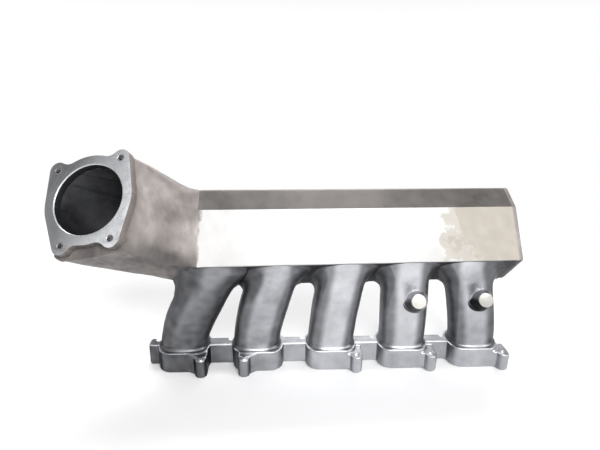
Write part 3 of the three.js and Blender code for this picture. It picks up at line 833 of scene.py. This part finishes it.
def make_elbow():
    outline = section_outline(0)
    outer = elbow_grid(outline, False)
    inner = elbow_grid(section_outline(WALL), True)
    relax(outer, [corner for _, _, corner in outline])
    for k, ring in enumerate(outer):
        fade = math.sin(math.pi * k / (len(outer) - 1))
        centre = sum(ring, Vector()) / len(ring)
        for p in ring:
            p += (p - centre).normalized() * uneven(p, 0.9) * fade
    pieces = []
    for name, first, last in (("inlet_elbow_pan_casting", 0, 3), ("inlet_elbow_hood_casting", 3, 0)):
        obj = slab(name, outer, inner, columns_between(outline, first, last), duct, bore_painted_dark)
        paint(obj, elbow_tone)
        sharpen(obj, 40)
        pieces.append(obj)
    return pieces


# ---- head flange ----
def rounded(x0, x1, y0, y1, r, n=10):
    """A rectangle's outline with round corners."""
    left, right, front, back = x0 + r, x1 - r, y0 + r, y1 - r
    points = []
    for cx, cy, start in ((right, front, -90), (right, back, 0), (left, back, 90), (left, front, 180)):
        for k in range(n + 1):
            a = math.radians(start + 90 * k / n)
            points.append((cx + r * math.cos(a), cy + r * math.sin(a)))
    return points


def flange_tone(p, normal):
    """Painted shade towards the left and on upright ends, a painted highlight along the top edges."""
    top_edge = smoothstep(normal.z, 0.35, 0.7) * smoothstep(0.995, normal.z, normal.z + 0.02)
    side = smoothstep(abs(normal.x), 0.45, 0.9)
    return 0.18 + 0.66 * shade_towards_throttle(p) + 0.35 * side - 0.7 * top_edge


def make_head_flange():
    solids = [prism("rail", rounded(*RAIL, RAIL_CORNER), 0, FLANGE_T)]
    for n in range(1, PORTS + 1):
        x = port_x(n)
        pad = rounded(x - PAD_X, x + PAD_X, -PAD_Y, PAD_Y, PAD_CORNER)
        solids.append(prism("pad", pad, 0, FLANGE_T))
        lx, ly = LUGS[n - 1]
        side = 1 if lx > x else -1
        domed = n <= DOMED_LUGS
        solids.append(prism("lug", circle(lx, ly, LUG_R), 0, LUG_TOP))
        web = [
            (lx + side * LUG_R, ly),
            (lx + side * LUG_R, RAIL[2] + 1),
            (lx - side * 3 * LUG_R, RAIL[2] + 1),
            (lx - side * 2.4 * LUG_R, -PAD_Y + 1),
            (lx - side * LUG_R, ly),
        ]
        if side < 0:
            web.reverse()
        solids.append(prism("web", web, 0, LUG_TOP if not domed else FLANGE_T - 1))
        if domed:
            dome = [(circle(lx, ly, LUG_R * share, 40), LUG_TOP + height) for share, height in DOME]
            solids.append(tube("dome", [[Vector((*p, z)) for p in ring] for ring, z in dome]))
    obj = solids[0]
    merged = bmesh.new()
    for solid in solids:
        merged.from_mesh(solid.data)
    merged.to_mesh(obj.data)
    merged.free()
    for solid in solids[1:]:
        bpy.data.objects.remove(solid)
    remesh = obj.modifiers.new("skin", "REMESH")
    remesh.mode = "VOXEL"
    remesh.voxel_size = SOFTEN_VOXEL
    smooth = obj.modifiers.new("soften", "SMOOTH")
    smooth.factor = 0.5
    smooth.iterations = SOFTEN_STEPS
    apply_modifiers(obj)
    cutters = []
    for n in range(1, PORTS + 1):
        x, slot_x = port_x(n), SLOT_X0 + (n - 1) * PITCH
        port = [oval(x, 0, z, RUNNER_X - WALL, RUNNER_Y - WALL, 64) for z in (-2, FLANGE_T + 2)]
        cutters.append(tube("port", port))
        end = RAIL[3] - SLOT_DEPTH + SLOT_HALF
        sides = (slot_x - SLOT_HALF, slot_x + SLOT_HALF)
        slot = rounded(*sides, end - SLOT_HALF, RAIL[3] + 8, SLOT_CORNER)
        cutters.append(prism("slot", slot, -2, FLANGE_T + 2))
    for lx, ly in LUGS[DOMED_LUGS:]:
        cutters.append(prism("recess", circle(lx, ly, RECESS_R), LUG_TOP - RECESS_DEPTH, LUG_TOP + 5))
    cut(obj, *cutters)
    obj.name = "head_flange_casting"
    obj.data.materials.clear()
    obj.data.materials.append(cast)
    obj.data.materials.append(machined)
    for polygon in obj.data.polygons:
        if polygon.normal.z < -0.9 and polygon.center.z < 0.0012:
            polygon.material_index = 1
    paint(obj, flange_tone)
    sharpen(obj, 50)
    return obj


# ---- bosses ----
def subdivided(profile, parts):
    """The profile with each of its steps split evenly."""
    points = []
    for start, end in zip(profile, profile[1:]):
        points += [tuple(lerp(a, b, k / parts) for a, b in zip(start, end)) for k in range(parts)]
    return points + [profile[-1]]


def make_boss(n, step):
    ring = runner_ring(n, BOSS_Z, 0)
    low = min(p.y for p in ring)
    foot = Vector(((min(p.x for p in ring) + max(p.x for p in ring)) / 2 + step, low + 1, BOSS_Z))
    along = BOSS_REACH.normalized()
    side = along.cross(Vector((0, 0, 1))).normalized()
    up = side.cross(along)
    rings = []
    for distance, r in subdivided(BOSS_PROFILE, 4):
        centre = foot + along * distance
        rings.append([centre + side * x + up * y for x, y in circle(0, 0, r, 72)])
    obj = tube(f"runner_boss_{n}_casting", rings, cast)
    obj.data.materials.append(bright_face)
    for polygon in obj.data.polygons:
        if polygon.normal.dot(along) > 0.9:
            polygon.material_index = 1
    dull = 0.3 if n == PORTS else 0.0

    def tone(p, normal):
        """Painted shade underneath, the last boss darker all over, and a painted highlight round the top
        of the foot.
        """
        from_skin = low - p.y
        up_left = (p - foot).dot(up) + 0.6 * (p - foot).dot(side)
        painted_highlight = smoothstep(from_skin, -3.0, -1.0) * smoothstep(-from_skin, -3.2, -1.6)
        painted_highlight *= smoothstep(up_left, 4, 9)
        return dull + 0.85 * smoothstep(-normal.z - normal.x * 0.4, -0.15, 0.6) - 1.8 * painted_highlight

    paint(obj, tone)
    sharpen(obj, 35)
    return obj


# ---- plenum tone ----
def panel_tone(p, normal):
    """Painted shade underneath, a painted highlight along the middle of the top."""
    painted_highlight = 0.45 * smoothstep(normal.z, 0.3, 0.5) * smoothstep(-abs(p.x), -130, -20)
    return 0.92 * smoothstep(-normal.z, 0.1, 0.4) - painted_highlight


# ---- build every piece ----
def add(obj, *nodes, slot):
    """Hands a finished piece over: what it rides on and what it replaces; the slot is not used."""
    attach(obj, "root")
    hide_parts(*nodes)


for number in range(1, PORTS + 1):
    add(make_runner(number), f"runner_{number}", slot="raw_casting")
for number, step in BOSS_STEP.items():
    add(make_boss(number, step), f"runner_boss_{number}", slot="machined_face")
add(make_head_flange(), "head_flange", slot="raw_casting")
pan, hood = make_elbow()
add(pan, "inlet_elbow_pan", slot="duct_casting")
add(hood, "inlet_elbow_hood", slot="duct_casting")
add(make_throttle_flange(), "throttle_flange", slot="machined_face")

OUTLINE = section_outline(0)
skin_out, skin_in = plenum_skin(OUTLINE), plenum_skin(section_outline(WALL))
for name, node, first, last, material, slot_name in (
    ("plenum_front_panel_skin", "plenum_front_panel", 7, 0, skimmed, "skimmed_face"),
    ("plenum_top_panel_skin", "plenum_top_panel", 6, 7, chamfer_painted_dark, "duct_casting"),
    ("plenum_rear_shell_skin", "plenum_rear_shell", 3, 6, duct, "raw_casting"),
    ("plenum_floor_skin", "plenum_floor", 0, 3, cast, "raw_casting"),
):
    piece = slab(name, skin_out, skin_in, columns_between(OUTLINE, first, last), material)
    if node == "plenum_floor":
        cut(piece, *[tube("bore", [runner_ring(n, z, WALL, 48) for z in FLOOR_BORE_HEIGHTS])
                     for n in range(1, PORTS + 1)])
    paint(piece, panel_tone)
    sharpen(piece, 40)
    add(piece, node, slot=slot_name)

plate_rings = []
for inset_by, past_end in END_PLATE:
    x = PLENUM_X1 + past_end
    plate_rings.append([YAW_M @ Vector((x, y, z)) for y, z, _ in section_outline(inset_by)])
end_plate = tube("plenum_end_plate_skin", plate_rings, duct)
# Painted shade on the end plate's downward faces.
paint(end_plate, lambda p, normal: 0.8 * smoothstep(-normal.z, 0.1, 0.5))
sharpen(end_plate, 40)
add(end_plate, "plenum_end_plate", slot="raw_casting")

for name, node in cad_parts.items():
    if "insert" in name:
        node.data.materials.clear()
        node.data.materials.append(steel)

# ---- floor, light and camera ----
floor_material, floor_nodes, floor_links, floor_shader = new_material("studio_floor")
floor_coords = floor_nodes.new("ShaderNodeTexCoord").outputs["Object"]
floor_cloud = noise_of(floor_nodes, floor_links, floor_coords, 3.0)
floor_links.new(
    mix(floor_nodes, floor_links, floor_cloud, (0.90, 0.90, 0.90), (0.93, 0.93, 0.93)),
    floor_shader.inputs["Base Color"],
)
floor_shader.inputs["Roughness"].default_value = 0.9
from_middle = floor_nodes.new("ShaderNodeVectorMath")
from_middle.operation = "LENGTH"
floor_links.new(floor_coords, from_middle.inputs[0])
floor_links.new(
    ramp(floor_nodes, floor_links, from_middle.outputs["Value"], *FLOOR_FADE, 1.0, 0.0),
    floor_shader.inputs["Alpha"],
)
floor_mesh = bpy.data.meshes.new("studio_floor")
square = ((-1, -1), (1, -1), (1, 1), (-1, 1))
floor_corners = [(x * FLOOR_HALF, y * FLOOR_HALF, FLOOR_Z) for x, y in square]
floor_mesh.from_pydata(floor_corners, [], [(0, 1, 2, 3)])
floor_mesh.materials.append(floor_material)
floor = bpy.data.objects.new("studio_floor", floor_mesh)
bpy.context.scene.collection.objects.link(floor)

world = bpy.data.worlds.new("studio")
bpy.context.scene.world = world
world.use_nodes = True
sky = world.node_tree
direction = sky.nodes.new("ShaderNodeTexCoord").outputs["Generated"]
parts = sky.nodes.new("ShaderNodeSeparateXYZ")
sky.links.new(direction, parts.inputs[0])
background = sky.nodes["Background"]
upward = ramp(sky.nodes, sky.links, parts.outputs[2], 0.10, 0.6)
sky_colour = mix(sky.nodes, sky.links, upward, (1.0, 1.0, 1.0), (0.25, 0.25, 0.26))
sky.links.new(sky_colour, background.inputs["Color"])
background.inputs["Strength"].default_value = 1.0

for name, location, target, size, power in LIGHTS:
    light = bpy.data.lights.new(name, "AREA")
    light.shape = "RECTANGLE"
    light.size, light.size_y = size
    light.energy = power
    lamp = bpy.data.objects.new(name, light)
    lamp.location = location
    lamp.rotation_euler = (Vector(target) - Vector(location)).to_track_quat("-Z", "Y").to_euler()
    bpy.context.scene.collection.objects.link(lamp)

camera_data = bpy.data.cameras.new("camera")
camera_data.sensor_width = SENSOR
camera_data.lens = LENS
camera_data.clip_start = 0.01
camera = bpy.data.objects.new("camera", camera_data)
bpy.context.scene.collection.objects.link(camera)
azimuth, elevation, roll = (math.radians(angle) for angle in (AZIMUTH, ELEVATION, ROLL))
back = Matrix.Rotation(-azimuth, 3, "Z") @ Vector((0, -math.cos(elevation), math.sin(elevation)))
right = Vector((math.cos(azimuth), -math.sin(azimuth), 0))
up = back.cross(right)
camera_x = right * math.cos(roll) + up * math.sin(roll)
camera_y = up * math.cos(roll) - right * math.sin(roll)
rotation = Matrix((camera_x, camera_y, back)).transposed().to_4x4()
camera.matrix_world = Matrix.Translation(to_row(EYE)) @ rotation
bpy.context.scene.camera = camera
bpy.context.scene.view_settings.view_transform = "Standard"
